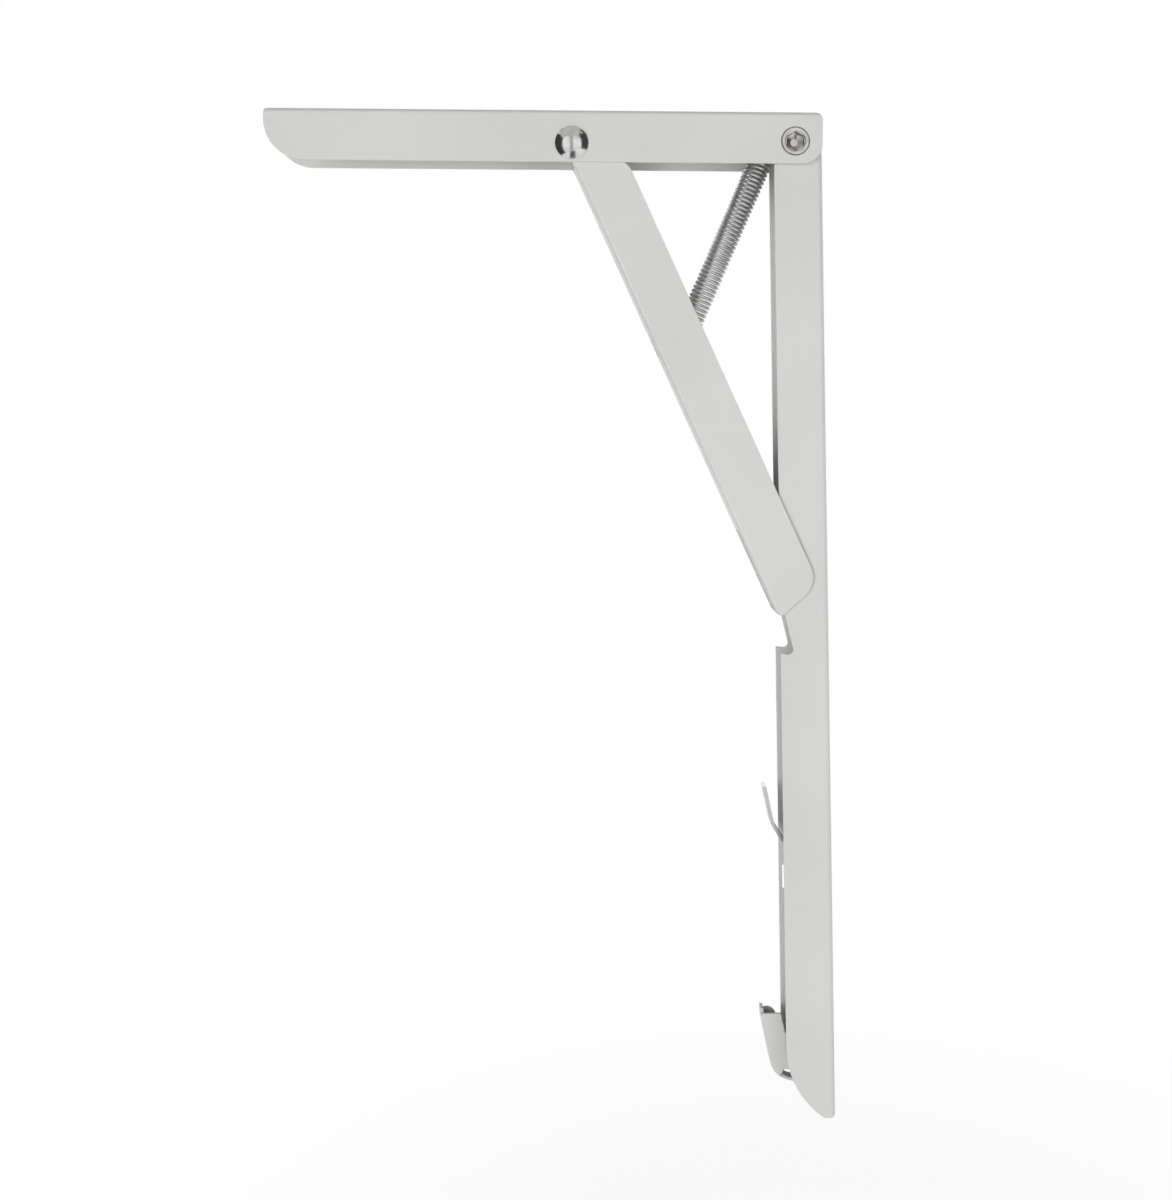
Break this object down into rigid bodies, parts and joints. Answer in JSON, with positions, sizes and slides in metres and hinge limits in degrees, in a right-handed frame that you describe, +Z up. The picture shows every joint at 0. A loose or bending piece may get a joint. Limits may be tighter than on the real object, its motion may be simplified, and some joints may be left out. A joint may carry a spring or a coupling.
{
  "type": "folding shelf bracket",
  "caption": "Folding shelf bracket: a wall rail with a pivoting channel arm held level by a hinged channel strut, a lift spring and a release lever near the foot.",
  "frame": {"origin": "centre of the middle wall hole, halfway between the two that the wall_holes mount states, on the back face that lies on the wall", "axes": "+Z up along the rail, +X into the wall so the arm reaches towards -X, +Y towards the far side, away from the side that is seen"},
  "size_m": [0.2984, 0.0394, 0.5443],
  "materials": {
    "grey_paint": "satin light grey powder coat",
    "polished_chrome": "polished",
    "satin_nickel": "satin nickel plate",
    "zinc_plate": "bright zinc plate",
    "zinc_wire": "drawn zinc-plated wire",
    "spring_steel": "plated spring strip"
  },
  "bodies": {
    "rail": {"wall_rail": "grey_paint", "pivot_barrel": "satin_nickel", "pivot_screw": "satin_nickel", "pivot_washer_near": "zinc_plate", "pivot_washer_far": "zinc_plate", "spring_post": "zinc_plate", "guide_rivet_upper": "zinc_plate", "guide_rivet_lower": "zinc_plate", "return_spring": "zinc_wire", "lever_carrier": "zinc_plate", "carrier_rivet_pair": "zinc_plate", "lever_pin": "zinc_plate", "lever_spacer_near": "zinc_plate", "lever_spacer_far": "zinc_plate"},
    "arm": {"shelf_arm": "grey_paint", "strut_rivet_near": "polished_chrome", "strut_rivet_far": "polished_chrome"},
    "strut": {"strut": "grey_paint"},
    "lever": {"release_lever": "grey_paint"},
    "latch": {"latch_bar": "zinc_plate", "catch": "spring_steel", "catch_rivet_pair": "zinc_plate"},
    "spring": {"lift_spring": "zinc_wire"},
    "loop": {"lift_spring_loop": "zinc_wire"}
  },
  "joints": [
    {"name": "arm_fold", "type": "hinge", "parent": "rail", "child": "arm", "pos_m": [-0.01475, 0, 0.23], "axis": [0, -1, 0], "range_deg": [0, 85.75], "stiffness_Nm_per_rad": 0.5, "springref_deg": -103.13},
    {"name": "strut_swing", "type": "hinge", "parent": "arm", "child": "strut", "pos_m": [-0.13411, 0, 0.23074], "axis": [0, -1, 0], "range_deg": [-109.3, 0]},
    {"name": "spring_swing", "type": "hinge", "parent": "rail", "child": "spring", "pos_m": [-0.02241, 0, 0.2381], "axis": [0, -1, 0], "range_deg": [0, 26.4]},
    {"name": "spring_stretch", "type": "slide", "parent": "spring", "child": "loop", "axis": [-0.4202, 0, -0.9074], "range_m": [0, 0.1215], "deforming": ["lift_spring", "lift_spring_loop"]},
    {"name": "latch_slide", "type": "slide", "parent": "rail", "child": "latch", "axis": [0, 0, -1], "range_m": [0, 0.005], "stiffness_N_per_m": 300, "springref_m": -0.01, "deforming": ["return_spring"]},
    {"name": "lever_pull", "type": "hinge", "parent": "rail", "child": "lever", "pos_m": [-0.00925, 0, -0.262], "axis": [0, -1, 0], "range_deg": [0, 20]}
  ],
  "couplings": [
    {"joint": "strut_swing", "follows": "arm_fold", "ratio": -1.2745},
    {"joint": "spring_swing", "follows": "arm_fold", "ratio": 0.30726},
    {"joint": "spring_stretch", "follows": "arm_fold", "m_per_rad": 0.081162},
    {"joint": "lever_pull", "follows": "latch_slide", "rad_per_m": 69.8}
  ]
}
